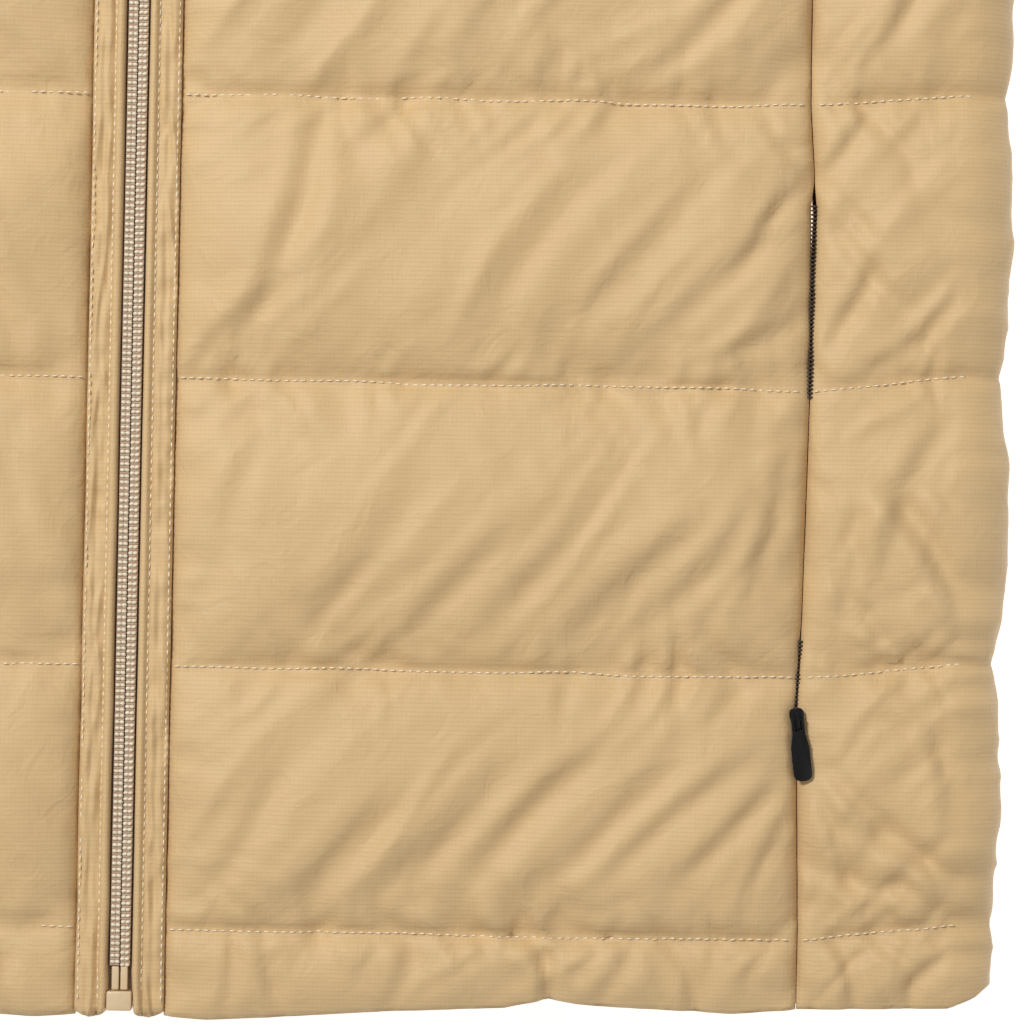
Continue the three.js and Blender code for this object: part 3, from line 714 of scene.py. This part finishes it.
def row_of_stitches(xs, ys, height):
    """Centres and directions of the stitches along a line at a height."""
    length = np.concatenate([[0], np.cumsum(np.hypot(np.diff(xs), np.diff(ys)))])
    at = np.arange(STITCH / 2, length[-1], STITCH)
    x, y = np.interp(at, length, xs), np.interp(at, length, ys)
    next_x, next_y = np.interp(at + AHEAD, length, xs), np.interp(at + AHEAD, length, ys)
    z, next_z = height(x, y), height(next_x, next_y)
    dx, dy = next_x - x, next_y - y
    last = np.hypot(dx, dy) < 1e-6
    dx = np.where(last, 1.0, dx)
    return np.stack([x, y, z], 1), np.stack([dx, dy, np.where(last, 0, next_z - z)], 1)


def front_stitches(seed, sign):
    """Every stitch of one front: along the quilting, and down the placket."""
    def on_cloth(x, y):
        to_seam = np.abs(x - read(SEAM_BOW, "y", "x", y))
        return front_height(x, y, np.minimum(np.abs(x - PANEL_EDGE), to_seam), seed) + STITCH_LIFT

    rows = []
    span = np.linspace(PANEL_EDGE + 0.8, 260, 260)
    for i, line in enumerate(QUILTING):
        below_arm = line["front"] < UNDERARM_Y
        reach = 203.0 if below_arm else read(ARMHOLE, "y", "x", line["front"]) - 3
        start = PANEL_EDGE + 0.8 if line["front"] < YOKE_Y else YOKE_X
        stretches = [span[(span >= start) & (span < reach)]]
        if below_arm:
            stretches.append(span[(span > 204.6) & (span < 252)])
        for xs in stretches:
            wobble = 0.5 * noise(xs / 22, xs * 0, seed + i)
            rows.append(row_of_stitches(xs, quilt_lines(xs)[i] + wobble, on_cloth))
    for row in PLACKET_ROWS:
        ys = np.linspace(3, 648, 60)
        rows.append(row_of_stitches(np.full_like(ys, row["x"]), ys,
                                    lambda x, y: np.full_like(x, row["z"])))
    centres, runs = (np.concatenate(values) for values in zip(*rows))
    centres[:, 0] *= sign
    runs[:, 0] *= sign
    return centres, runs


for name, seed, sign in (("stitches_left", 11, 1), ("stitches_right", 47, -1)):
    centres, runs = front_stitches(seed, sign)
    stitches = beads(name, centres, runs, STITCH_BEAD, thread)

# ---- Centre-front zip -----------------------------------------------------------------------
# A size 5 nylon coil: two rows of loops woven together down the middle, sewn on a taupe tape,
# with a bare moulded box and pins at the bottom.
coil_nylon, tree, surface = new_material("nylon_monofilament_coil_heat_set")
where = put(tree, "ShaderNodeTexCoord")
drawn = put(tree, "ShaderNodeTexNoise", {"Vector": where.outputs["Object"], "Scale": 700.0})
tint_base(tree, surface, drawn.outputs["Fac"], "DCC8A6", "FBF1DE")
surface.inputs["Roughness"].default_value = 0.35
surface.inputs["Subsurface Weight"].default_value = 0.05

COIL_PITCH, COIL_START, COIL_END = 1.85, 14.0, 639.0
COIL_BEAD = (0.78, 0.56, 0.6)
# Each loop shows as an outer bead on the tape and an inner one at the woven middle.
COIL_BEADS = [dict(x=2.2, z=20.75), dict(x=0.8, z=20.55)]
loops_y = np.arange(COIL_START, COIL_END, COIL_PITCH)
centres, runs = [], []
for sign in (-1, 1):
    shift = 0.0 if sign > 0 else COIL_PITCH / 2
    for bead in COIL_BEADS:
        at = loops_y + shift
        centres.append(np.stack(
            [np.full_like(at, sign * bead["x"]), at, np.full_like(at, bead["z"])], 1))
        runs.append(np.tile([sign * 1.0, 0.16, 0.0], (len(at), 1)))
coil = beads("zip_coil_loops", np.concatenate(centres), np.concatenate(runs), COIL_BEAD,
             coil_nylon, subdivisions=2)

# Zip tape: taupe polyester woven in fine cross ribs, also the base that the coil is sewn to.
tape, tree, surface = new_material("taupe_polyester_tape_woven")
where = put(tree, "ShaderNodeTexCoord")
rib = put(tree, "ShaderNodeTexWave",
          {"Vector": where.outputs["Object"], "Scale": 520.0, "Distortion": 1.5},
          bands_direction="Y")
tint_base(tree, surface, rib.outputs["Fac"], "9A8069", "C4AB91")
tape_bump = put(tree, "ShaderNodeBump", {"Height": rib.outputs["Fac"], "Distance": 0.0001})
tree.links.new(tape_bump.outputs["Normal"], surface.inputs["Normal"])
surface.inputs["Roughness"].default_value = 0.85
for node in ("zip_tape_left", "zip_tape_right", "zip_coil_left", "zip_coil_right"):
    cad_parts[node].data.materials.clear()
    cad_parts[node].data.materials.append(tape)


def eased(node, width, material, body="garment"):
    """A CAD piece with its edges rounded, as moulding, casting or folding leaves them."""
    shape = bmesh.new()
    shape.from_mesh(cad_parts[node].data)
    bmesh.ops.remove_doubles(shape, verts=shape.verts, dist=1e-6)
    flat = [e for e in shape.edges if len(e.link_faces) == 2 and e.calc_face_angle() < 0.02]
    bmesh.ops.dissolve_edges(shape, edges=flat, use_verts=True)
    sharp = [e for e in shape.edges if len(e.link_faces) == 2 and e.calc_face_angle() > 0.5]
    bmesh.ops.bevel(shape, geom=sharp, offset=width * MM, segments=3, profile=0.5,
                    affect="EDGES", material=-1, clamp_overlap=True)
    bmesh.ops.recalc_face_normals(shape, faces=shape.faces)
    data = bpy.data.meshes.new(node + "_eased")
    shape.to_mesh(data)
    shape.free()
    piece = add_piece(node + "_eased", data, material, body)
    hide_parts(node)
    return piece


# Acetal: moulded satin beige with a faint flow mottle.
acetal, tree, surface = new_material("beige_acetal_moulded")
where = put(tree, "ShaderNodeTexCoord")
flow = put(tree, "ShaderNodeTexNoise",
           {"Vector": where.outputs["Object"], "Scale": 420.0, "Detail": 3.0})
tint_base(tree, surface, flow.outputs["Fac"], "D0B48C", "DEC6A2")
surface.inputs["Roughness"].default_value = 0.38
for node, width in (("zip_box", 0.6), ("zip_pin_left", 0.35), ("zip_pin_right", 0.35)):
    eased(node, width, acetal)

# ---- Pocket zips ----------------------------------------------------------------------------
# A fine dark brown coil set in the side seam, mostly hidden by the cloth, with a small black
# enamelled slider and a hinged pull.
dark_coil, tree, surface = new_material("dark_brown_nylon_coil")
where = put(tree, "ShaderNodeTexCoord")
drawn = put(tree, "ShaderNodeTexNoise", {"Vector": where.outputs["Object"], "Scale": 900.0})
tint_base(tree, surface, drawn.outputs["Fac"], "1C1410", "4E3C2D")
surface.inputs["Roughness"].default_value = 0.4
POCKET_PITCH, POCKET_START, POCKET_END = 1.25, 89.0, 247.0
POCKET_BEAD = (1.0, 0.42, 0.6)
for side_name, sign in (("left", 1), ("right", -1)):
    at = np.arange(POCKET_START, POCKET_END, POCKET_PITCH)
    sunk = 1.6 * ((at > 116) & (at < 189))  # the cloth closes over the middle of the zip
    centre = np.stack([sign * read(SEAM_BOW, "y", "x", at), at, 18.9 - sunk], 1)
    across_seam = np.tile([1.0, 0.0, 0.0], (len(at), 1))
    teeth = beads(f"pocket_zip_{side_name}_coil", centre, across_seam, POCKET_BEAD, dark_coil,
                  subdivisions=2)
    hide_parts(f"pocket_zip_{side_name}")

# Enamelled zinc: gloss black, hardly mottled, worn a little duller in patches.
enamel, tree, surface = new_material("gloss_black_enamel_on_cast_zinc")
where = put(tree, "ShaderNodeTexCoord")
wear = put(tree, "ShaderNodeTexNoise",
           {"Vector": where.outputs["Object"], "Scale": 300.0, "Detail": 4.0})
dull = put(tree, "ShaderNodeMapRange",
           {"Value": wear.outputs["Fac"], "To Min": 0.14, "To Max": 0.4})
tree.links.new(dull.outputs["Result"], surface.inputs["Roughness"])
surface.inputs["Base Color"].default_value = linear("0B0A0C")
surface.inputs["Specular IOR Level"].default_value = 0.35
for node, body, width in (
    ("front_slider", "garment", 0.35),
    ("pocket_slider_left", "garment", 0.2),
    ("pocket_slider_right", "garment", 0.2),
    ("front_pull", "front_pull", 0.3),
    ("pocket_pull_left", "pocket_pull_left", 0.28),
    ("pocket_pull_right", "pocket_pull_right", 0.28),
):
    eased(node, width, enamel, body)

# ---- Armhole bindings -----------------------------------------------------------------------
# A narrow strip of the shell cloth folded over each armhole's raw edge.
for node in ("armhole_binding_left", "armhole_binding_right"):
    eased(node, 1.0, nylon)
